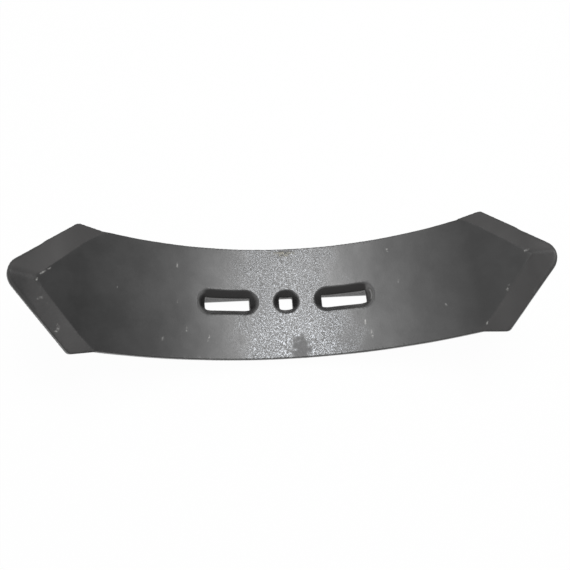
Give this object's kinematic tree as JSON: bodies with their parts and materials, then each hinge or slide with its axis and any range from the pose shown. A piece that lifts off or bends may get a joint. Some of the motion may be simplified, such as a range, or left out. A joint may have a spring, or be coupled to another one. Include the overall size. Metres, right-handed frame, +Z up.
{
  "type": "plough point",
  "caption": "Curved reversible steel plough point with a bevelled tip at each end, held by countersunk square-neck bolts in a centre hole and a slot on either side.",
  "frame": {"origin": "lowest line of the convex back, at the centre of the length and of the width", "axes": "+X along the length, +Y across the width, +Z up, out of the concave front face"},
  "size_m": [0.4474, 0.117, 0.0973],
  "materials": {
    "forged_steel": "dark forging scale, dull and finely pebbled"
  },
  "bodies": {
    "root": {"plough_point": "forged_steel"}
  },
  "joints": []
}
